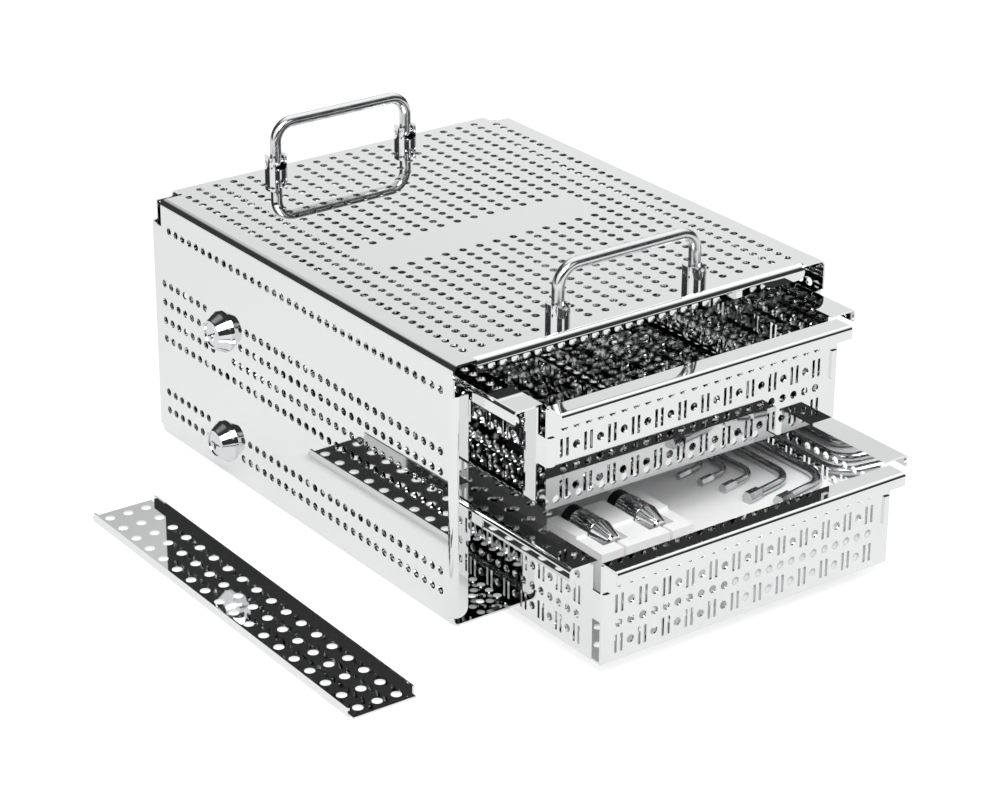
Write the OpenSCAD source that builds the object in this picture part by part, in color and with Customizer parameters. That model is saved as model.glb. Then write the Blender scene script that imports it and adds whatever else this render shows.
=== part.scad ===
// Instrument cassette in perforated stainless steel: a folded case with two
// sliding trays, two folding handles on top and one key lock for each tray.
// X runs across the front, Y to the back and Z up. The origin lies under the
// middle of the case, on the surface that it stands on.

/* [Case] */
// Outer width of the case
case_w = 218; // [206:1:250]
// Outer depth of the case
case_d = 262; // [250:1:300]
// Outer height of the case
case_h = 130; // [128:1:150]
// Thickness of all the sheet steel
sheet = 1; // [0.8:0.1:1.2]
// Outer radius of the folds in the case
fold_r = 3.5; // [2:0.1:4]
// Width of the flanges that frame the front and the rear
flange_w = 8.5; // [7:0.5:9]
// Drop of the flanges folded down from the top
top_flange_h = 7; // [5:0.5:9]
// Distance from the case's side to the end of a top flange
top_flange_inset = 13; // [12:0.5:16]
// Length that is cut back at each rear corner of the top
rear_cut = 11; // [9:0.5:14]
// Distance from the top of the case down to the side flanges
side_flange_drop = 15.5; // [14:0.5:18]
// Height at which the side flanges start
side_flange_rise = 4; // [3:0.5:6]

/* [Perforation] */
// Diameter of the round holes in the case
hole_d = 4; // [3:0.1:4.6]
// Distance between hole rows across the case and up its sides
hole_step_wide = 10; // [8:0.5:14]
// Distance between the holes along the case
hole_step_long = 6.5; // [5.5:0.5:9]
// Least distance from the case's edge to the middle of a hole
hole_margin = 9.5; // [8:0.5:12]
// Height of the lowest hole row in the sides
first_row_z = 15.5; // [14:0.5:18]
// Width of the plain field in the middle of the top
plain_w = 130; // [80:1:150]
// Length of the plain field in the middle of the top
plain_l = 26; // [13:1:60]

/* [Trays] */
// Height of a tray
tray_h = 50; // [44:1:52]
// Distance from the top of the case to the rails of the upper tray
tray_drop = 12.4; // [10:0.1:14]
// Vertical distance from one tray to the next
tray_step = 59.3; // [57:0.1:61]
// Width of the rail flange on each side of a tray
rail_w = 14.5; // [13:0.5:16]
// Side clearance between a rail and the flanges of the case
rail_gap = 1; // [0.5:0.1:1.5]
// Width of the flange at the front and rear of a tray
tray_flange_w = 10.2; // [8:0.1:12]
// Sideways shift of the hole pattern in the ends of a tray
end_shift = -1.4; // [-2:0.1:2]
// Outer radius of the folds in a tray
tray_fold_r = 2; // [1.6:0.1:2.4]
// Height of the lips under the rails and flanges
lip_h = 6.2; // [5:0.1:7]
// Free space behind a closed tray
rear_gap = 3.6; // [2:0.1:8]
// Width of the open gap at each tray corner
corner_gap = 6.3; // [5:0.1:8]
// Height of the strap that closes a tray corner
strap_h = 14; // [10:0.5:16]
// Height of the strap above the tray's underside
strap_z = 21; // [16:0.5:22]
// Distance between hole columns in the end walls of a tray
tray_step_wide = 6.7; // [6.4:0.1:8]
// Distance between hole columns in the side walls of a tray
tray_step_long = 6.5; // [6.3:0.1:8]
// Height of the lowest hole row in a tray wall
tray_row_z = 8.3; // [7.5:0.1:9]
// Distance between the hole rows in a tray wall
tray_row_step = 10; // [9.5:0.1:10.5]
// Width of a slot in a tray wall
slot_w = 1.5; // [1:0.1:2]
// Height of a slot in a tray wall
slot_h = 9; // [6:0.5:9]
// Distance between the two slots of a pair
slot_pair = 3.3; // [2.8:0.1:3.8]
// How far the upper tray is pulled out
upper_pull = 47; // [0:1:150]
// How far the lower tray is pulled out
lower_pull = 88; // [0:1:150]

/* [Guides] */
// Clearance between a tray's rail and the guide that carries it
guide_gap = 0.3; // [0.2:0.1:0.5]
// Clearance between the lip of a rail and the shelf of the guide
shelf_gap = 0.8; // [0.5:0.1:1.2]
// Height of the guide's web on the case wall
guide_web_h = 11; // [8:0.5:12]
// Distance from the tray wall to the upright edge of the guide
guide_inset = 6; // [4:0.5:8]

/* [Dividers] */
// Width of a divider
divider_w = 34.5; // [30:0.5:38]
// Height of the flanges of a divider
divider_flange = 4.5; // [3:0.5:6]
// Length by which a divider's plate passes its flanges
divider_tongue = 3; // [2:0.5:5]
// Diameter of the holes in a divider
divider_hole_d = 5; // [4:0.5:6]
// Distance between the hole columns of a divider
divider_step = 13; // [11:0.5:16]
// Distance from the middle of the tray to each fitted divider
divider_x = 30.5; // [20:0.5:40]
// End clearance of a divider in its tray
divider_gap = 0.3; // [0.2:0.1:0.6]

/* [Handles] */
// Diameter of the handle wire
wire_d = 6; // [5:0.5:7]
// Distance between the legs of a handle
handle_w = 80; // [60:1:100]
// Height of the handle's bar above the top
handle_h = 25.6; // [22:0.1:40]
// Bend radius of the handle at the middle of the wire
bend_r = 10; // [7:0.5:12]
// Diameter of a handle post
post_d = 11.5; // [10:0.5:14]
// Height of a handle post above its pin
post_rim = 3; // [2.5:0.25:8]
// Height of the hinge pin above the top
pin_h = 6; // [5:0.5:7]
// Diameter of the hinge pins
pin_d = 2.5; // [2:0.1:3]
// Clearance round the wire in the slot of a post
slot_gap = 0.2; // [0.15:0.05:0.3]
// Radial running clearance of a hinge pin
pin_gap = 0.05; // [0.02:0.01:0.08]
// Distance from the case's front to the front handle
front_handle_inset = 15; // [12:0.5:30]
// Distance from the case's rear to the rear handle
rear_handle_inset = 10; // [10:0.5:30]

/* [Locks] */
// Distance from the case's rear to the locks
lock_inset = 67.3; // [60:0.1:90]
// Height of the lower lock
lock_z = 19.2; // [18.5:0.1:20]
// Diameter of a lock's bezel at the case wall
bezel_d = 21; // [20:0.5:23]
// Diameter of the flat face of a bezel
face_d = 14.6; // [14:0.2:16]
// Height of a bezel
bezel_h = 6.8; // [5:0.2:9]
// Diameter of the threaded barrel
barrel_d = 16; // [15:0.5:17]
// Length of the barrel inside the case
barrel_l = 17; // [15:0.5:17]
// Diameter of the lock core
core_d = 12; // [11:0.5:13]
// Radial running clearance of a core in its barrel
core_gap = 0.05; // [0.02:0.01:0.1]
// Thickness of the locking cam
cam_t = 1.8; // [1.5:0.1:2]
// Length of the cam from the core's axis to its tip
cam_l = 17; // [15:0.5:18]
// Width of the cam
cam_w = 12; // [10:0.5:13]

/* [Lower tray contents] */
// Height of the plastic insert above the tray floor
insert_h = 25.2; // [15:0.2:30]
// Wall thickness of the plastic insert
insert_wall = 4; // [3:0.5:6]
// Distance from the middle of the tray to the insert's left side
insert_x = 8.5; // [4:0.5:9]
// Width of the tool block
block_w = 53; // [48:1:56]
// Length of the tool block
block_l = 41; // [38:1:50]
// Height of the tool block
block_h = 35.7; // [32:0.1:42]
// Distance from the tray's front wall to the tool block
block_inset = 28; // [20:1:60]
// Diameter of the two turned tools
tool_d = 14; // [12:0.5:15]
// Distance between the two turned tools
tool_step = 26.5; // [22:0.5:28]
// Bend angle that the hex keys lack to a right angle
key_tilt = 9.5; // [0:0.5:15]
// Length of a key's head
key_head_l = 8; // [6:0.5:12]

/* [Hidden] */
$fn = 32;

screw_d = 4;
half_w = case_w / 2;
half_d = case_d / 2;
inner_x = half_w - sheet;
rear_face = half_d - 2 * sheet;
tray_w = case_w - 2 * (flange_w + rail_gap + rail_w);
tray_d = case_d - 2 * sheet - 2 * tray_flange_w - rear_gap;
tray_y = -half_d + tray_flange_w + tray_d / 2;
upper_z = case_h - tray_drop - tray_h;
lower_z = upper_z - tray_step;
lock_y = half_d - lock_inset;
upper_lock_z = lock_z + tray_step;
front_post_y = -half_d + front_handle_inset;
rear_post_y = half_d - rear_handle_inset;

// True where a perforation hole at [x, y] keeps clear of the point c
function clear_of(p, c, r) = norm(p - c) > r;

// Quarter ring of folded sheet, standing on the XY plane
module fold(r, length) {
    rotate_extrude(angle = 90) translate([r - sheet, 0]) square([sheet, length]);
}

// Sheet standing in the YZ plane, from x to x + sheet
module upright_along(x) {
    translate([x, 0, 0]) rotate([90, 0, 90]) linear_extrude(sheet) children();
}

// Sheet standing in the XZ plane, from y to y + sheet
module upright_across(y) {
    translate([0, y + sheet, 0]) rotate([90, 0, 0]) linear_extrude(sheet) children();
}

// Holes of the top and the floor; the top leaves out the plain field and the posts
post_clear_r = 9;
plain_at = [-5, -5];
top_columns = floor((case_w - 2 * hole_margin - hole_d) / hole_step_wide) + 1;
top_rows = floor((case_d - 2 * hole_margin - 1) / hole_step_long) + 1;
module flat_holes(is_top) {
    first = -half_d + hole_margin + 2.5;
    posts = [[-handle_w / 2, front_post_y], [handle_w / 2, front_post_y],
        [-handle_w / 2, rear_post_y], [handle_w / 2, rear_post_y]];
    for (i = [0:top_columns - 1]) {
        for (j = [0:top_rows - 1]) {
            p = [(i - (top_columns - 1) / 2) * hole_step_wide, first + j * hole_step_long];
            in_corner = abs(p.x) > half_w - top_flange_inset - hole_d
                && p.y > half_d - rear_cut - hole_d;
            in_plain = abs(p.x - plain_at.x) < plain_w / 2 && abs(p.y - plain_at.y) < plain_l / 2;
            near_post = min([for (c = posts) norm(p - c)]) < post_clear_r;
            if (!in_corner && !(is_top && (in_plain || near_post))) translate(p) circle(d = hole_d);
        }
    }
}

// Plate outline of the top, with bare corners in front and cut corners behind
module top_outline() {
    x_out = half_w - fold_r;
    x_flange = half_w - top_flange_inset;
    y_cut = half_d - rear_cut;
    polygon([[-x_out, -half_d], [-x_flange, -half_d], [-x_flange, fold_r - half_d],
        [x_flange, fold_r - half_d], [x_flange, -half_d], [x_out, -half_d],
        [x_out, y_cut], [x_flange, y_cut], [x_flange, half_d - fold_r],
        [-x_flange, half_d - fold_r], [-x_flange, y_cut], [-x_out, y_cut]]);
}

// Flange hanging from the front edge of the top, with rounded lower corners
module top_flange() {
    x_flange = half_w - top_flange_inset;
    r = top_flange_h - fold_r - 0.5;
    translate([-x_flange, fold_r - half_d, case_h - fold_r])
        rotate([0, 90, 0]) rotate(180) fold(fold_r, 2 * x_flange);
    upright_across(-half_d) {
        translate([-x_flange, case_h - fold_r - 0.5]) square([2 * x_flange, 0.5]);
        translate([-x_flange + r, case_h - top_flange_h]) square([2 * (x_flange - r), r]);
        for (s = [-1, 1]) {
            translate([s * (x_flange - r), case_h - fold_r - 0.5]) intersection() {
                circle(r = r);
                translate([s > 0 ? 0 : -r, -r]) square(r);
            }
        }
    }
}

// One long fold between the top or the floor and a side
module side_fold(y0, y1) {
    for (s = [0, 1]) {
        mirror([s, 0, 0]) translate([half_w - fold_r, y1, 0]) rotate([90, 0, 0])
            fold(fold_r, y1 - y0);
    }
}

module top_panel() {
    color("silver") {
        translate([0, 0, case_h - sheet]) linear_extrude(sheet) difference() {
            top_outline();
            flat_holes(true);
            for (side = [-1, 1]) {
                for (y = [front_post_y, rear_post_y]) {
                    translate([side * handle_w / 2, y]) circle(d = screw_d + 0.2);
                }
            }
        }
        translate([0, 0, case_h - fold_r]) side_fold(-half_d, half_d - rear_cut);
        top_flange();
        mirror([0, 1, 0]) top_flange();
    }
}

floor_cut = 5;
module floor_panel() {
    x_out = half_w - fold_r;
    x_flange = half_w - top_flange_inset;
    color("silver") {
        linear_extrude(sheet) difference() {
            polygon([[-x_out, -half_d], [x_out, -half_d], [x_out, half_d - floor_cut],
                [x_flange, half_d - floor_cut], [x_flange, half_d - sheet],
                [-x_flange, half_d - sheet], [-x_flange, half_d - floor_cut],
                [-x_out, half_d - floor_cut]]);
            flat_holes(false);
        }
        translate([0, 0, fold_r]) mirror([0, 0, 1]) side_fold(-half_d, half_d - floor_cut);
    }
}

// Hole rows of a side, counted from the lowest; the locked side keeps clear of its locks
side_rows = [0, 1, 4, 5, 6, 7, 10];
side_count = floor((case_d - 2 * hole_margin - 2) / hole_step_long) + 1;
lock_clear_r = 14;
module side_holes(locked) {
    for (k = side_rows) {
        for (j = [0:side_count - 1]) {
            p = [-half_d + hole_margin + j * hole_step_long, first_row_z + k * hole_step_wide];
            low = norm(p - [lock_y, lock_z]) < lock_clear_r;
            high = norm(p - [lock_y, upper_lock_z]) < lock_clear_r;
            in_corner = k == side_rows[6] && p.x > half_d - rear_cut - hole_d - 3;
            if (!in_corner && !(locked && (low || high))) translate(p) circle(d = hole_d);
        }
    }
}

// Flange on the front edge of a side, with a round lower corner
module side_flange(z0, z1) {
    r = flange_w - fold_r - 0.5;
    x_in = flange_w - half_w;
    translate([fold_r - half_w, fold_r - half_d, z0]) rotate(180) fold(fold_r, z1 - z0);
    upright_across(-half_d) {
        translate([fold_r - half_w, z0 + r]) square([flange_w - fold_r, z1 - z0 - r]);
        translate([fold_r - half_w, z0]) square([flange_w - fold_r - r, r]);
        translate([x_in - r, z0 + r]) intersection() {
            circle(r = r);
            translate([0, -r]) square(r);
        }
    }
}

module side_panel(locked) {
    z0 = side_flange_rise;
    z1 = case_h - side_flange_drop;
    z_rear = case_h - rear_cut - 3;
    y_cut = half_d - rear_cut;
    upright_along(-half_w) difference() {
        polygon([[-half_d, fold_r], [-half_d, z0], [fold_r - half_d, z0],
            [fold_r - half_d, z1], [-half_d, z1], [-half_d, case_h - fold_r],
            [y_cut, case_h - fold_r], [y_cut, z_rear], [half_d - fold_r, z_rear],
            [half_d - fold_r, floor_cut], [half_d - floor_cut, fold_r]]);
        side_holes(locked);
        if (locked) {
            translate([lock_y, lock_z]) circle(d = barrel_d + 0.3);
            translate([lock_y, upper_lock_z]) circle(d = barrel_d + 0.3);
        }
    }
    side_flange(z0, z1);
    mirror([0, 1, 0]) side_flange(floor_cut, z_rear);
}

module left_panel() { color("silver") side_panel(true); }
module right_panel() { color("silver") mirror([1, 0, 0]) side_panel(false); }

// Rear wall, seated on the inner faces of the rear flanges
module rear_panel() {
    columns = top_columns - 1;
    rows = floor((case_h - 2 * hole_margin) / hole_step_long);
    color("silver") upright_across(rear_face) difference() {
        translate([fold_r - half_w, sheet]) square([case_w - 2 * fold_r, case_h - fold_r - sheet]);
        for (i = [0:columns - 1]) {
            for (j = [0:rows - 1]) {
                translate([(i - (columns - 1) / 2) * hole_step_wide,
                    case_h / 2 + (j - (rows - 1) / 2) * hole_step_long]) circle(d = hole_d);
            }
        }
    }
}

// Guide of one rail: a web on the case wall, a shelf and an upright edge under the rail
module guide(z_tray) {
    z_shelf = z_tray + tray_h - lip_h - shelf_gap;
    z_edge = z_tray + tray_h - sheet - guide_gap;
    x_edge = tray_w / 2 + guide_inset;
    y0 = -half_d + 3.5;
    length = case_d - 10;
    color("gainsboro") {
        translate([0, y0 + length, 0]) rotate([90, 0, 0]) linear_extrude(length)
            polygon([[-inner_x, z_shelf - guide_web_h], [sheet - inner_x, z_shelf - guide_web_h],
                [sheet - inner_x, z_shelf - sheet], [-x_edge, z_shelf - sheet], [-x_edge, z_edge],
                [-x_edge - sheet, z_edge], [-x_edge - sheet, z_shelf], [-inner_x, z_shelf]]);
        translate([-inner_x, y0 - sheet, z_shelf - guide_web_h])
            cube([flange_w + 2, sheet, guide_web_h]);
    }
}

module upper_left_guide() { guide(upper_z); }
module upper_right_guide() { mirror([1, 0, 0]) guide(upper_z); }
module lower_left_guide() { guide(lower_z); }
module lower_right_guide() { mirror([1, 0, 0]) guide(lower_z); }

// Round post with a slot that is open towards +Y, where its handle folds
module post() {
    post_h = pin_h + post_rim;
    slot = wire_d + 2 * slot_gap;
    slot_z = pin_h - wire_d / 2 - 0.3;
    color("lightgray") difference() {
        cylinder(d = post_d, h = post_h);
        translate([-slot / 2, -slot / 2, slot_z]) cube([slot, post_d, post_h]);
        translate([0, 0, post_h + 1]) rotate([90, 0, 0]) cylinder(d = slot + 0.6, h = post_d, center = true);
        translate([0, 0, pin_h]) rotate([0, 90, 0]) cylinder(d = pin_d + 2 * pin_gap, h = post_d + 2, center = true);
        translate([0, 0, -1]) cylinder(d = screw_d + 0.04, h = post_h);
    }
}

// Screws that hold the four posts from inside the case
module post_screws() {
    grip = pin_h - wire_d / 2 - 0.6;
    color("gray") for (side = [-1, 1]) {
        for (rear = [false, true]) {
            place_post(side, rear) {
                translate([0, 0, -sheet]) cylinder(d = screw_d, h = sheet + grip);
                translate([0, 0, -sheet - 2]) cylinder(d = 7.5, h = 2);
            }
        }
    }
}

module place_post(side, rear) {
    translate([side * handle_w / 2, rear ? rear_post_y : front_post_y, case_h])
        rotate(rear ? 180 : 0) children();
}

module hinge_pin() {
    color("gray") translate([0, 0, pin_h]) rotate([0, 90, 0])
        cylinder(d = pin_d, h = post_d - 0.4, center = true);
}

module front_left_post() { place_post(-1, false) post(); }
module front_right_post() { place_post(1, false) post(); }
module rear_left_post() { place_post(-1, true) post(); }
module rear_right_post() { place_post(1, true) post(); }
module front_left_pin() { place_post(-1, false) hinge_pin(); }
module front_right_pin() { place_post(1, false) hinge_pin(); }
module rear_left_pin() { place_post(-1, true) hinge_pin(); }
module rear_right_pin() { place_post(1, true) hinge_pin(); }

// Bent wire handle, standing upright on its two pins
module handle() {
    leg_top = handle_h - bend_r;
    color("lightgray") difference() {
        union() {
            for (s = [-1, 1]) {
                translate([s * handle_w / 2, 0, pin_h]) {
                    sphere(d = wire_d);
                    cylinder(d = wire_d, h = leg_top - pin_h);
                }
                translate([s * (handle_w / 2 - bend_r), 0, leg_top]) rotate([90, 0, 0])
                    rotate(s > 0 ? 0 : 90) rotate_extrude(angle = 90)
                        translate([bend_r, 0]) circle(d = wire_d);
            }
            translate([0, 0, handle_h]) rotate([0, 90, 0])
                cylinder(d = wire_d, h = handle_w - 2 * bend_r, center = true);
        }
        translate([0, 0, pin_h]) rotate([0, 90, 0])
            cylinder(d = pin_d + 2 * pin_gap, h = handle_w + 2 * wire_d, center = true);
    }
}

module front_handle() { translate([0, front_post_y, case_h]) handle(); }
module rear_handle() { translate([0, rear_post_y, case_h]) handle(); }

// Turns a shape that is built along +Z so that +Z points out of the left side
module on_left_side(z) {
    translate([-half_w, lock_y, z]) rotate([0, -90, 0]) children();
}

// Bezel and threaded barrel in one piece, bored for the core
module lock_barrel(z) {
    rim = 1;
    color("silver") on_left_side(z) difference() {
        rotate_extrude() polygon([[core_d / 2 + core_gap, -barrel_l], [barrel_d / 2 - 0.6, -barrel_l],
            [barrel_d / 2, 0.6 - barrel_l], [barrel_d / 2, 0], [bezel_d / 2, 0],
            [bezel_d / 2, rim], [bezel_d / 2 - 0.6, rim + 0.9], [face_d / 2, bezel_h - 0.3],
            [face_d / 2 - 0.4, bezel_h], [core_d / 2 + core_gap, bezel_h]]);
    }
}

nut_t = 4;
module lock_nut(z) {
    color("darkgray") on_left_side(z) translate([0, 0, -sheet - nut_t]) difference() {
        cylinder(d = barrel_d + 9, h = nut_t, $fn = 6);
        translate([0, 0, -1]) cylinder(d = barrel_d + 0.1, h = nut_t + 2);
    }
}

// Core with its keyway, a slit with a wedge beside it, and a tapped hole for the cam screw
cam_gap = 0.3;
module lock_core(z, turn) {
    top = bezel_h - 0.5;
    bottom = -barrel_l - cam_gap;
    color("gainsboro") on_left_side(z) difference() {
        translate([0, 0, bottom]) cylinder(d = core_d, h = top - bottom);
        rotate(turn) translate([0, 0, top - 2]) linear_extrude(3) {
            square([core_d - 4, 0.7], center = true);
            polygon([[-1.6, 0], [1.9, 0], [1.3, 3.4], [0.5, 3.6]]);
        }
        translate([0, 0, bottom - 1]) cylinder(d = screw_d + 0.04, h = 9);
    }
}

// Flat cam that points forward when the tray is free
module lock_cam(z) {
    color("darkgray") on_left_side(z) translate([0, 0, -barrel_l - cam_gap - cam_t])
        linear_extrude(cam_t) difference() {
            union() {
                circle(d = cam_w + 2);
                translate([-cam_w / 2, -cam_l + 3]) square([cam_w, cam_l - 3]);
                translate([3 - cam_w / 2, -cam_l]) square([cam_w - 6, 3]);
                for (s = [-1, 1]) translate([s * (cam_w / 2 - 3), 3 - cam_l]) circle(r = 3);
            }
            circle(d = screw_d + 0.04);
        }
}

module cam_screw(z) {
    color("gray") on_left_side(z) translate([0, 0, -barrel_l - cam_gap - cam_t]) difference() {
        union() {
            translate([0, 0, -2]) cylinder(d = 7, h = 2);
            cylinder(d = screw_d, h = cam_t + 6);
        }
        translate([0, 0, -2.5]) linear_extrude(1.5) square([8, 1], center = true);
    }
}

upper_key_turn = 118;
lower_key_turn = 90;
module upper_lock_barrel() { lock_barrel(upper_lock_z); }
module upper_lock_nut() { lock_nut(upper_lock_z); }
module upper_lock_core() { lock_core(upper_lock_z, upper_key_turn); }
module upper_lock_cam() { lock_cam(upper_lock_z); }
module upper_cam_screw() { cam_screw(upper_lock_z); }
module lower_lock_barrel() { lock_barrel(lock_z); }
module lower_lock_nut() { lock_nut(lock_z); }
module lower_lock_core() { lock_core(lock_z, lower_key_turn); }
module lower_lock_cam() { lock_cam(lock_z); }
module lower_cam_screw() { cam_screw(lock_z); }

// Hole columns of a tray wall: even columns hold a pair of slots, odd ones a hole,
// and the middle and top rows are round throughout
module wall_holes(count, step, first) {
    for (i = [0:count - 1]) {
        x = first + i * step;
        for (row = [1, 3]) translate([x, tray_row_z + row * tray_row_step]) circle(d = hole_d);
        for (row = [0, 2]) {
            translate([x, tray_row_z + row * tray_row_step]) {
                if (i % 2 == 1) circle(d = hole_d);
                if (i % 2 == 0) {
                    for (s = [-1, 1]) {
                        translate([s * slot_pair / 2, 0]) square([slot_w, slot_h], center = true);
                    }
                }
            }
        }
    }
}

end_margin = 10;
side_margin = 17.5;
end_columns = 2 * floor((tray_w / 2 - end_margin) / tray_step_wide) + 1;
side_columns = floor((tray_d - 2 * side_margin) / tray_step_long) + 2;

// Edge of folded sheet: a flat strip that ends in a fold and a lip, its top at 0
module edge_profile(width, drop) {
    translate([0, -sheet]) square([width - tray_fold_r, sheet]);
    translate([width - tray_fold_r, -tray_fold_r]) intersection() {
        difference() {
            circle(r = tray_fold_r);
            circle(r = tray_fold_r - sheet);
        }
        square(tray_fold_r);
    }
    translate([width - sheet, -drop]) square([sheet, drop - tray_fold_r]);
}

module tray_side() {
    y_end = tray_d / 2 - corner_gap;
    rail_end = tray_d / 2 - 4.4;
    upright_along(tray_w / 2 - sheet) difference() {
        translate([-y_end, 0]) square([2 * y_end, tray_h - sheet]);
        wall_holes(side_columns, tray_step_long, side_margin - tray_d / 2);
    }
    translate([tray_w / 2 - sheet, rail_end, tray_h]) rotate([90, 0, 0])
        linear_extrude(2 * rail_end) edge_profile(rail_w + sheet, lip_h);
}

module tray_end() {
    flange_end = tray_w / 2 - 0.6;
    upright_across(-tray_d / 2) difference() {
        translate([-tray_w / 2, 0]) square([tray_w, tray_h - sheet]);
        wall_holes(end_columns, tray_step_wide, end_shift - (end_columns - 1) / 2 * tray_step_wide);
    }
    translate([flange_end, sheet - tray_d / 2, tray_h]) rotate([90, 0, -90])
        linear_extrude(2 * flange_end) edge_profile(tray_flange_w + sheet, lip_h);
}

// Strap that runs on from the side wall and laps round onto the end wall
strap_lap = 2;
module corner_strap() {
    x = tray_w / 2;
    y = tray_d / 2;
    translate([0, 0, strap_z]) {
        translate([x - sheet, y - corner_gap - 0.5, 0]) cube([sheet, corner_gap - sheet + 0.5, strap_h]);
        translate([x - tray_fold_r, y + sheet - tray_fold_r, 0]) fold(tray_fold_r, strap_h);
        translate([x - tray_fold_r - strap_lap, y, 0]) cube([strap_lap, sheet, strap_h]);
    }
}

floor_step = 13;
module tray_floor() {
    columns = floor((tray_w - 2 * end_margin) / hole_step_wide) + 1;
    rows = floor((tray_d - 2 * end_margin) / floor_step) + 1;
    linear_extrude(sheet) difference() {
        square([tray_w, tray_d], center = true);
        for (i = [0:columns - 1]) {
            for (j = [0:rows - 1]) {
                translate([(i - (columns - 1) / 2) * hole_step_wide,
                    (j - (rows - 1) / 2) * floor_step]) circle(d = divider_hole_d);
            }
        }
    }
}

module tray() {
    color("whitesmoke") {
        tray_floor();
        for (s = [0, 1]) {
            mirror([s, 0, 0]) tray_side();
            mirror([0, s, 0]) tray_end();
            for (t = [0, 1]) mirror([s, 0, 0]) mirror([0, t, 0]) corner_strap();
        }
    }
}

module in_upper() { translate([0, tray_y - upper_pull, upper_z]) children(); }
module in_lower() { translate([0, tray_y - lower_pull, lower_z]) children(); }

// Angle bracket on the tray wall that the cam holds when the tray is shut and locked
catch_h = 7;
catch_gap = 0.8;
module tray_catch() {
    reach = half_w - barrel_l - tray_w / 2 - 1;
    y0 = lock_y + cam_w / 2 + 1 + catch_gap - tray_y;
    z0 = lock_z - lower_z + cam_l - 5.5;
    color("darkgray") translate([-tray_w / 2, y0, z0]) {
        translate([-sheet, 0, 0]) cube([sheet, 12, catch_h]);
        translate([-reach, 0, 0]) cube([reach, 1.2, catch_h]);
    }
}

// Divider lying flat with its flanges up, centred on the origin
divider_l = tray_d - 2 * sheet - 2 * divider_gap;
module divider() {
    rows = 3;
    columns = floor((divider_l - 8) / divider_step) + 1;
    flange_l = divider_l - 2 * divider_tongue;
    color("gainsboro") {
        linear_extrude(sheet) difference() {
            square([divider_w - 2 * sheet, divider_l], center = true);
            for (i = [0:rows - 1]) {
                for (j = [0:columns - 1]) {
                    translate([(i - (rows - 1) / 2) * hole_step_wide,
                        (j - (columns - 1) / 2) * divider_step]) circle(d = divider_hole_d);
                }
            }
        }
        for (s = [-1, 1]) {
            translate([s * (divider_w - sheet) / 2, 0, divider_flange / 2])
                cube([sheet, flange_l, divider_flange], center = true);
        }
    }
}

// Divider on edge on the tray floor, its flanges pointing towards the side s
module standing_divider(s) {
    translate([s * divider_x, 0, sheet + divider_w / 2]) rotate([0, s * 90, 0]) divider();
}

module upper_tray() { in_upper() tray(); }
module upper_catch() { in_upper() tray_catch(); }
module left_divider() { in_upper() standing_divider(-1); }
module right_divider() { in_upper() standing_divider(1); }
module lower_tray() { in_lower() tray(); }
module lower_catch() { in_lower() tray_catch(); }

// Plastic insert, hollow from below, on the right of the lower tray
module insert_plate() {
    w = tray_w / 2 - sheet - divider_gap + insert_x;
    color("white") in_lower() translate([w / 2 - insert_x, 0, sheet]) difference() {
        translate([-w / 2, -divider_l / 2, 0]) cube([w, divider_l, insert_h]);
        translate([insert_wall - w / 2, insert_wall - divider_l / 2, -1])
            cube([w - 2 * insert_wall, divider_l - 2 * insert_wall, insert_h - insert_wall]);
    }
}

// Places a shape at the middle of the tool block's front, at the height of the tools
tool_sink = 2.5;
block_x = -insert_x - 0.5 - block_w / 2;
module at_block() {
    in_lower() translate([block_x, sheet + block_inset - tray_d / 2, sheet + block_h - tool_sink])
        children();
}

// Block with one trough for each tool, a step along the front and a slit before each nose
tool_l = 33;
tool_start = 8;
module tool_block() {
    step = 1.2;
    color("white") at_block() difference() {
        translate([-block_w / 2, 0, tool_sink - block_h]) cube([block_w, block_l, block_h]);
        translate([-block_w / 2 - 1, -1, tool_sink - step]) cube([block_w + 2, 20, step + 1]);
        for (s = [-1, 1]) {
            translate([s * tool_step / 2, tool_start - 1, 0]) rotate([-90, 0, 0])
                cylinder(d = tool_d + 0.6, h = tool_l + 2);
            translate([s * tool_step / 2 - 0.8, -1, -8]) cube([1.6, tool_start + 2, 12]);
        }
    }
}

// Turned steel tool with a ribbed rear, two grooves and a cone at the front
module turned_tool(s) {
    r = tool_d / 2;
    color("silver") at_block() translate([s * tool_step / 2, tool_start, 0]) rotate([-90, 0, 0])
        rotate_extrude() polygon([[0, 0], [r - 3.8, 0], [r - 3, 0.8], [r, 10], [r - 0.3, 10.3],
            [r - 0.3, 10.7], [r, 11], [r, 17], [r - 1, 17.4], [r - 1, 18.2], [r, 18.6],
            [r, 24.4], [r - 0.6, 25], [r - 0.6, tool_l - 1.2], [r - 1.8, tool_l], [0, tool_l]]);
}

module left_tool() { turned_tool(-1); }
module right_tool() { turned_tool(1); }

// Bent key lying on the insert, its short leg in the shank of a larger hexagonal head
key_shank = 0.4;
module hex_key(d, head, leg, shaft, x, y) {
    r = 3 * d;
    turn = 90 - key_tilt;
    t = r * tan(turn / 2);
    color("silver") in_lower() translate([x, y, sheet + insert_h + head / 2]) {
        translate([0, t, 0]) rotate([-90, 0, 0]) cylinder(d = d, h = shaft - t);
        translate([-r, t, 0]) mirror([0, 1, 0]) rotate_extrude(angle = turn)
            translate([r, 0]) circle(d = d);
        rotate(key_tilt) translate([-leg, 0, 0]) rotate([0, 90, 0]) {
            cylinder(d = d + key_shank, h = leg - t + 0.5);
            rotate(30) cylinder(d = head / cos(30), h = key_head_l, $fn = 6);
        }
    }
}

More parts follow.
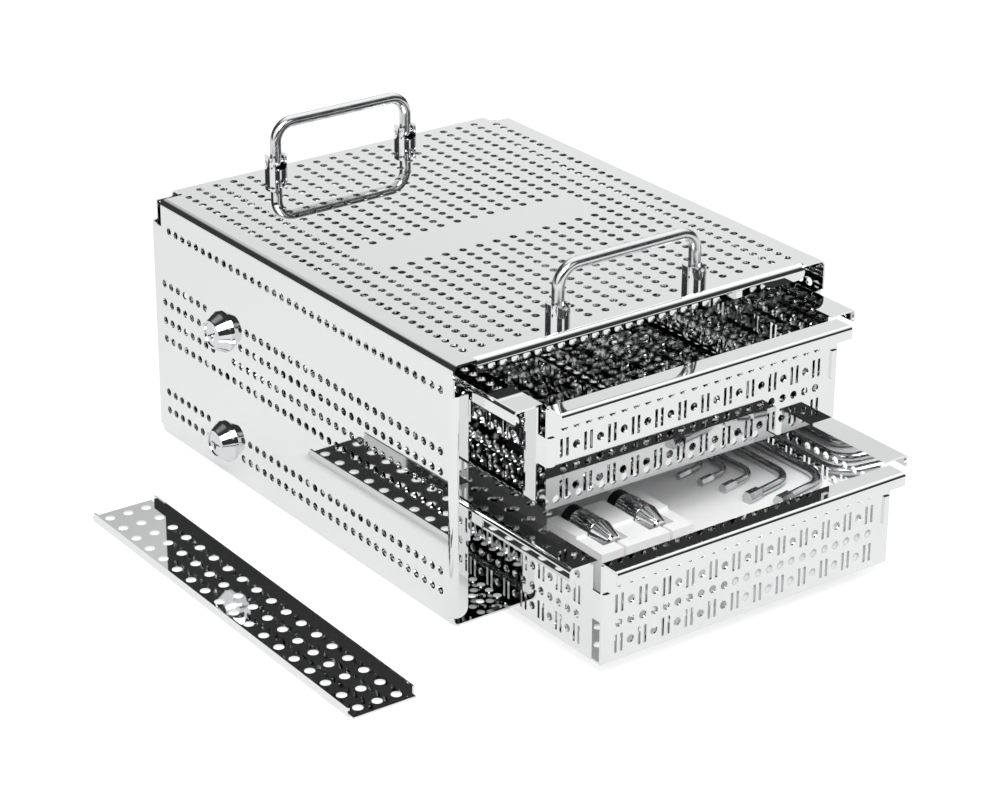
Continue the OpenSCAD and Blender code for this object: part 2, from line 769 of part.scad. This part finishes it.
module hex_key_1() { hex_key(2.4, 3.1, 19.5, 70, 45.5, -31.5); }
module hex_key_2() { hex_key(2.8, 3.7, 21, 76, 51, -43); }
module hex_key_3() { hex_key(3.3, 4.3, 23, 82, 57, -54.5); }
module hex_key_4() { hex_key(4, 5.6, 32, 91, 68, -68); }
module hex_key_5() { hex_key(4.8, 6.2, 35.5, 100, 80, -80); }

loose_at = [-173, -56];
loose_turn = -0.85;
module loose_divider() { translate(loose_at) rotate(loose_turn) divider(); }

top_panel();
left_panel();
right_panel();
floor_panel();
rear_panel();
upper_left_guide();
upper_right_guide();
lower_left_guide();
lower_right_guide();
front_left_post();
front_right_post();
rear_left_post();
rear_right_post();
front_left_pin();
front_right_pin();
rear_left_pin();
rear_right_pin();
front_handle();
rear_handle();
upper_lock_barrel();
upper_lock_nut();
upper_lock_core();
upper_lock_cam();
upper_cam_screw();
lower_lock_barrel();
lower_lock_nut();
lower_lock_core();
lower_lock_cam();
lower_cam_screw();
upper_tray();
upper_catch();
left_divider();
right_divider();
lower_tray();
lower_catch();
insert_plate();
tool_block();
left_tool();
right_tool();
hex_key_1();
hex_key_2();
hex_key_3();
hex_key_4();
hex_key_5();
post_screws();
loose_divider();
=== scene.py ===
import math

import bpy
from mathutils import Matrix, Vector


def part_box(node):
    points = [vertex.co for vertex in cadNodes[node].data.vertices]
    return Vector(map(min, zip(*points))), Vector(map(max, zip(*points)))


mm = 0.001  # sizes are thought of in millimetres, and Blender gets metres

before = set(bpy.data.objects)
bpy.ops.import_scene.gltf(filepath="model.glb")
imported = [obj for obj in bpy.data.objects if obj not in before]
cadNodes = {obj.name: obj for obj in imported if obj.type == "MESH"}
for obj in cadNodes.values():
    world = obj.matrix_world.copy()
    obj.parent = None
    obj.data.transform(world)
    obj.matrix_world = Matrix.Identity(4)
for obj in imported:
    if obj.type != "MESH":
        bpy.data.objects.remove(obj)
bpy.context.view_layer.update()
print("frame loaded:", len(cadNodes), "nodes")


def hexColor(text):
    values = [int(text[i:i + 2], 16) / 255 for i in (1, 3, 5)]
    linear = [v / 12.92 if v <= 0.04045 else ((v + 0.055) / 1.055) ** 2.4 for v in values]
    return (*linear, 1.0)


# adds one node: its own settings, the values typed into its sockets, and what is
# plugged in; a socket is named, or numbered where several share a name
def addNode(tree, kind, settings=None, sockets=None, links=None):
    node = tree.nodes.new(kind)
    for name, value in (settings or {}).items():
        setattr(node, name, value)
    for name, value in (sockets or {}).items():
        node.inputs[name].default_value = value
    for name, source in (links or {}).items():
        tree.links.new(source, node.inputs[name])
    return node


def addMath(tree, operation, sockets=None, links=None):
    node = addNode(tree, "ShaderNodeMath", {"operation": operation}, sockets, links)
    return node.outputs["Value"]


def addVector(tree, operation, sockets=None, links=None):
    node = addNode(tree, "ShaderNodeVectorMath", {"operation": operation}, sockets, links)
    return node.outputs["Value" if operation in ("LENGTH", "DOT_PRODUCT") else "Vector"]


# mixes two colours, each a typed value or a plug
def addMix(tree, factor, first, second):
    sockets, links = {}, {0: factor}
    for place, color in ((6, first), (7, second)):
        (sockets if isinstance(color, tuple) else links)[place] = color
    node = addNode(tree, "ShaderNodeMix", {"data_type": "RGBA"}, sockets, links)
    return node.outputs[2]


def newMaterial(name):
    material = bpy.data.materials.new(name)
    material.use_nodes = True
    material.node_tree.nodes.clear()
    return material, material.node_tree


# Electropolished stainless sheet: nearly a mirror, with the faint waviness that
# thin sheet keeps after folding and a trace of the rolling grain in its gloss
polishedSheetLook = {
    "color": "#eceded",
    "roughness": (0.015, 0.04),
    "waveWidth": 40 * mm,
    "waveStrength": 0.004,
    "grainWidth": 0.9 * mm,  # real rolling grain is finer than a pixel, so it is drawn coarser
    "grainStretch": 0.04,
}


def polishedSheet():
    look = polishedSheetLook
    material, tree = newMaterial("Electropolished stainless sheet")
    place = addNode(tree, "ShaderNodeTexCoord")
    wave = addNode(tree, "ShaderNodeTexNoise", sockets={"Scale": 1 / look["waveWidth"], "Detail": 1.0},
                   links={"Vector": place.outputs["Object"]})
    along = addNode(tree, "ShaderNodeMapping", sockets={"Scale": (1.0, look["grainStretch"], 1.0)},
                    links={"Vector": place.outputs["Object"]})
    grain = addNode(tree, "ShaderNodeTexNoise", sockets={"Scale": 1 / look["grainWidth"], "Detail": 2.0},
                    links={"Vector": along.outputs["Vector"]})
    gloss = addNode(tree, "ShaderNodeMapRange",
                    sockets={"From Min": 0.3, "From Max": 0.7, "To Min": look["roughness"][0],
                             "To Max": look["roughness"][1]},
                    links={"Value": grain.outputs["Fac"]})
    bump = addNode(tree, "ShaderNodeBump", sockets={"Strength": look["waveStrength"], "Distance": 1 * mm},
                   links={"Height": wave.outputs["Fac"]})
    steel = addNode(tree, "ShaderNodeBsdfPrincipled",
                    sockets={"Base Color": hexColor(look["color"]), "Metallic": 1.0},
                    links={"Roughness": gloss.outputs["Result"], "Normal": bump.outputs["Normal"]})
    addNode(tree, "ShaderNodeOutputMaterial", links={"Surface": steel.outputs["BSDF"]})
    return material


# the even normal of a turned piece: each small flat keeps its lean along the
# axis, and is turned to face straight out from the axis
def turnedNormal(tree, place, node, axis):
    low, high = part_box(node)
    across = tuple(1.0 - part for part in axis)
    flat = addNode(tree, "ShaderNodeNewGeometry").outputs["True Normal"]
    fromMiddle = addVector(tree, "SUBTRACT", {1: (low + high) / 2}, {0: place.outputs["Object"]})
    fromAxis = addVector(tree, "MULTIPLY", {1: across}, {0: fromMiddle})
    outward = addVector(tree, "NORMALIZE", links={0: fromAxis})
    lean = addVector(tree, "MULTIPLY", {1: axis}, {0: flat})
    sideways = addVector(tree, "MULTIPLY", {1: across}, {0: flat})
    share = addVector(tree, "LENGTH", links={0: sideways})
    facing = addVector(tree, "DOT_PRODUCT", links={0: sideways, 1: outward})
    way = addMath(tree, "SIGN", links={0: facing})
    size = addMath(tree, "MULTIPLY", links={0: share, 1: way})
    turned = addVector(tree, "SCALE", links={0: outward, "Scale": size})
    return addVector(tree, "ADD", links={0: lean, 1: turned})


# Ground tool shank: bright at the nose, then a ribbed grip of black oxide at the
# rear; lengths are counted in millimetres from the nose along Y. The grip's ribs are
# painted as lighter crests, a painted highlight, and the grooves round the shank as
# dark rings, painted shade.
toolLook = {
    "color": "#e6e7e8",
    "gripColor": "#161617",
    # painted highlight: the lighter grey of the grip's rib crests
    "crestHighlightColor": "#77787b",
    "roughness": (0.08, 0.36),
    # painted shade: dark rings where grooves go round the shank
    "grooveShadeAt": (10.5, 17.8),
    "ringWidth": 0.8,
    "gripStart": 26.2,
    "ribStep": 1.3,
}


def groundTool(node):
    look = toolLook
    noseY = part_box(node)[0][1]
    material, tree = newMaterial("Ground tool steel with black oxide grip")
    place = addNode(tree, "ShaderNodeTexCoord")
    parts = addNode(tree, "ShaderNodeSeparateXYZ", links={"Vector": place.outputs["Object"]})
    along = addNode(tree, "ShaderNodeMapRange", {"clamp": False},
                    {"From Min": noseY, "From Max": noseY + mm}, {"Value": parts.outputs["Y"]})
    along = along.outputs["Result"]
    # painted highlight: a lighter grey on each rib crest of the grip stands in for the light on the ribs
    turn = addMath(tree, "MULTIPLY", {1: 2 * math.pi / look["ribStep"]}, {0: along})
    ribs = addMath(tree, "SINE", links={0: turn})
    paintedCrestLight = addNode(tree, "ShaderNodeMapRange", sockets={"From Min": 0.55, "From Max": 1.0},
                       links={"Value": ribs})
    gripWithPaintedCrests = addMix(tree, paintedCrestLight.outputs["Result"], hexColor(look["gripColor"]), hexColor(look["crestHighlightColor"]))
    # the black oxide grip, and painted shade: dark rings standing in for the grooves round the shank
    gripAndGrooveShade = addMath(tree, "GREATER_THAN", {1: look["gripStart"]}, {0: along})
    for ring in look["grooveShadeAt"]:
        near = addMath(tree, "COMPARE", {1: ring, 2: look["ringWidth"] / 2}, {0: along})
        gripAndGrooveShade = addMath(tree, "MAXIMUM", links={0: gripAndGrooveShade, 1: near})
    gloss = addNode(tree, "ShaderNodeMapRange",
                    sockets={"To Min": look["roughness"][0], "To Max": look["roughness"][1]},
                    links={"Value": gripAndGrooveShade})
    steel = addNode(tree, "ShaderNodeBsdfPrincipled", sockets={"Metallic": 1.0},
                    links={"Base Color": addMix(tree, gripAndGrooveShade, hexColor(look["color"]), gripWithPaintedCrests),
                           "Roughness": gloss.outputs["Result"],
                           "Normal": turnedNormal(tree, place, node, (0.0, 1.0, 0.0))})
    addNode(tree, "ShaderNodeOutputMaterial", links={"Surface": steel.outputs["BSDF"]})
    return material


# Turned and drawn stainless steel: polished round the axis, so its gloss is even
# and only fine specks of handling break it. Each has a colour and the roughness
# between and on its specks.
turnedSteelLook = {
    "Satin stainless wire": ("#dfe0e1", (0.14, 0.26)),
    "Polished stainless bar": ("#e8e9ea", (0.05, 0.1)),
    "Chrome-plated lock brass": ("#dfe0e2", (0.05, 0.1)),
    "Turned chrome-plated lock brass": ("#dfe0e2", (0.04, 0.09)),
    "Plain turned stainless steel": ("#b9babc", (0.2, 0.34)),
    "Ground key steel": ("#c4c5c7", (0.12, 0.24)),
}
speckWidth = 3 * mm


# roundNode names a piece turned about X, which gets the even normal
def turnedSteel(name, roundNode=None):
    color, roughness = turnedSteelLook[name]
    material, tree = newMaterial(name)
    place = addNode(tree, "ShaderNodeTexCoord")
    specks = addNode(tree, "ShaderNodeTexNoise", sockets={"Scale": 1 / speckWidth, "Detail": 4.0},
                     links={"Vector": place.outputs["Object"]})
    gloss = addNode(tree, "ShaderNodeMapRange",
                    sockets={"From Min": 0.35, "From Max": 0.7, "To Min": roughness[0],
                             "To Max": roughness[1]},
                    links={"Value": specks.outputs["Fac"]})
    steel = addNode(tree, "ShaderNodeBsdfPrincipled",
                    sockets={"Base Color": hexColor(color), "Metallic": 1.0},
                    links={"Roughness": gloss.outputs["Result"]})
    if roundNode:
        tree.links.new(turnedNormal(tree, place, roundNode, (1.0, 0.0, 0.0)), steel.inputs["Normal"])
    addNode(tree, "ShaderNodeOutputMaterial", links={"Surface": steel.outputs["BSDF"]})
    return material


# Milled polyethylene: white, waxy and slightly see-through at its edges, with
# the faint lines that a milling cutter leaves
milledPlasticLook = {
    "color": "#f4f4f4",
    "roughness": 0.42,
    "glow": 0.15,
    "glowDepth": 1.5 * mm,
    "cutterStep": 1.2 * mm,
    "cutterDepth": 0.1 * mm,
    "cutterStrength": 0.05,
}


def milledPlastic():
    look = milledPlasticLook
    material, tree = newMaterial("Milled white polyethylene")
    place = addNode(tree, "ShaderNodeTexCoord")
    bandScale = 0.314  # a wave texture of this scale has one band in each unit
    lines = addNode(tree, "ShaderNodeTexWave", {"bands_direction": "Y"},
                    {"Scale": bandScale / look["cutterStep"], "Distortion": 1.0, "Detail": 1.0},
                    {"Vector": place.outputs["Object"]})
    bump = addNode(tree, "ShaderNodeBump",
                   sockets={"Strength": look["cutterStrength"], "Distance": look["cutterDepth"]},
                   links={"Height": lines.outputs["Fac"]})
    plastic = addNode(tree, "ShaderNodeBsdfPrincipled",
                      sockets={"Base Color": hexColor(look["color"]), "Roughness": look["roughness"],
                               "Subsurface Weight": look["glow"], "Subsurface Scale": look["glowDepth"]},
                      links={"Normal": bump.outputs["Normal"]})
    addNode(tree, "ShaderNodeOutputMaterial", links={"Surface": plastic.outputs["BSDF"]})
    return material


# the material of each piece, by a word in its name; the first match counts
plainSteel = turnedSteel("Plain turned stainless steel")
finishes = [
    (plainSteel, ["post_screws"]),
    (groundTool("left_tool"), ["left_tool"]),
    (groundTool("right_tool"), ["right_tool"]),
    (turnedSteel("Turned chrome-plated lock brass", "upper_lock_barrel"), ["upper_lock_barrel"]),
    (turnedSteel("Turned chrome-plated lock brass", "lower_lock_barrel"), ["lower_lock_barrel"]),
    (milledPlastic(), ["insert_plate", "tool_block"]),
    (turnedSteel("Satin stainless wire"), ["handle"]),
    (turnedSteel("Polished stainless bar"), ["post"]),
    (plainSteel, ["pin", "screw", "nut", "cam", "catch"]),
    (turnedSteel("Chrome-plated lock brass"), ["lock_core"]),
    (turnedSteel("Ground key steel"), ["hex_key"]),
    (polishedSheet(), ["panel", "guide", "tray", "divider"]),
]


def finishFor(name):
    for material, words in finishes:
        if any(word in name for word in words):
            return material
    raise ValueError(name + " has no finish")


for name, node in cadNodes.items():
    node.data.materials.clear()
    node.data.materials.append(finishFor(name))
print("finishes set")


# Floor and room. A dark room with a few soft boxes gives the polished sheet
# something to mirror; each box is a direction, the cosines of the angles where
# it starts and is full, and its brightness. The floor's glow is white paper to
# the camera, and a little less to what mirrors it.
studio = {
    "floorSize": 30.0,
    "floorDrop": 0.05 * mm,
    "floorColor": "#b0b0b0",
    "floorGlow": {"Is Camera Ray": 0.7, "Is Glossy Ray": 0.42, "Is Transmission Ray": 0.42},
    "dimLevel": 0.042,
    "softBoxes": {
        "rear wall": ((0.629, 0.749, 0.208), (0.885, 0.996), 0.9),
        "ceiling": ((0.45, 0.25, 0.857), (0.60, 0.95), 1.2),
        "left": ((-0.84, -0.26, 0.47), (0.86, 0.91), 1.1),
        "front": ((0.23, -0.85, 0.47), (0.975, 0.985), 1.1),
    },
    "lampPlace": (-1.3, -1.9, 2.6),
    "lampAim": (0, 0, 0.06),
    "lampSize": 2.0,
    "lampPower": 112.0,
}


# a value that the next node can take up, such as the start of a running maximum
def addValue(tree, value):
    plug = addNode(tree, "ShaderNodeValue").outputs[0]
    plug.default_value = value
    return plug


# paper that also glows where the camera or the polished steel sees it, so that
# it is white there and still takes the shadow
def buildFloor():
    bpy.ops.object.select_all(action="DESELECT")
    bpy.ops.mesh.primitive_plane_add(size=studio["floorSize"], location=(0, 0, -studio["floorDrop"]))
    floor = bpy.context.object
    floor.name = "floor"
    material, tree = newMaterial("White paper floor")
    paper = addNode(tree, "ShaderNodeBsdfDiffuse", sockets={"Color": hexColor(studio["floorColor"])})
    path = addNode(tree, "ShaderNodeLightPath")
    glow = addValue(tree, 0.0)
    for kind, strength in studio["floorGlow"].items():
        seen = addMath(tree, "MULTIPLY", {1: strength}, {0: path.outputs[kind]})
        glow = addMath(tree, "MAXIMUM", links={0: glow, 1: seen})
    light = addNode(tree, "ShaderNodeEmission", links={"Strength": glow})
    both = addNode(tree, "ShaderNodeAddShader",
                   links={0: paper.outputs["BSDF"], 1: light.outputs["Emission"]})
    addNode(tree, "ShaderNodeOutputMaterial", links={"Surface": both.outputs["Shader"]})
    floor.data.materials.append(material)


# the dark room with its soft boxes, white where the camera looks past the floor
def buildRoom():
    world = bpy.data.worlds.new("Studio room")
    bpy.context.scene.world = world
    world.use_nodes = True
    tree = world.node_tree
    tree.nodes.clear()
    place = addNode(tree, "ShaderNodeTexCoord")
    facing = addVector(tree, "NORMALIZE", links={0: place.outputs["Generated"]})
    level = addValue(tree, studio["dimLevel"])
    for direction, edge, brightness in studio["softBoxes"].values():
        aim = addVector(tree, "DOT_PRODUCT", {1: direction}, {0: facing})
        box = addNode(tree, "ShaderNodeMapRange", {"interpolation_type": "SMOOTHSTEP"},
                      {"From Min": edge[0], "From Max": edge[1], "To Max": brightness}, {"Value": aim})
        level = addMath(tree, "MAXIMUM", links={0: level, 1: box.outputs["Result"]})
    path = addNode(tree, "ShaderNodeLightPath")
    level = addMath(tree, "MAXIMUM", links={0: level, 1: path.outputs["Is Camera Ray"]})
    white = (1.0, 1.0, 1.0, 1.0)
    back = addNode(tree, "ShaderNodeBackground", sockets={"Color": white}, links={"Strength": level})
    addNode(tree, "ShaderNodeOutputWorld", links={"Surface": back.outputs["Background"]})


def addLamp(name, place, aim, size, power):
    bpy.ops.object.select_all(action="DESELECT")
    bpy.ops.object.light_add(type="AREA", location=place)
    lamp = bpy.context.object
    lamp.name = name
    lamp.data.shape = "SQUARE"
    lamp.data.size = size
    lamp.data.energy = power
    back = lamp.location - type(lamp.location)(aim)
    lamp.rotation_euler = back.to_track_quat("Z", "Y").to_euler()


buildFloor()
buildRoom()
addLamp("key softbox", studio["lampPlace"], studio["lampAim"], studio["lampSize"], studio["lampPower"])
print("studio built")


# The camera of the photograph, solved from the perforation grids: its place in
# millimetres and its turn in degrees
cameraSet = {
    "place": (-808.65, -1111.85, 664.29),
    "turn": (65.427, -0.385, -36.31),
    "lens": 108.58,
    "sensorWidth": 36,
    "nearest": 0.05,
}


def addCamera():
    bpy.ops.object.select_all(action="DESELECT")
    bpy.ops.object.camera_add(location=[v * mm for v in cameraSet["place"]],
                              rotation=[math.radians(v) for v in cameraSet["turn"]])
    camera = bpy.context.object
    camera.data.sensor_width = cameraSet["sensorWidth"]
    camera.data.lens = cameraSet["lens"]
    camera.data.clip_start = cameraSet["nearest"]
    bpy.context.scene.camera = camera


addCamera()
bpy.context.scene.view_settings.view_transform = "Standard"
print("camera set")
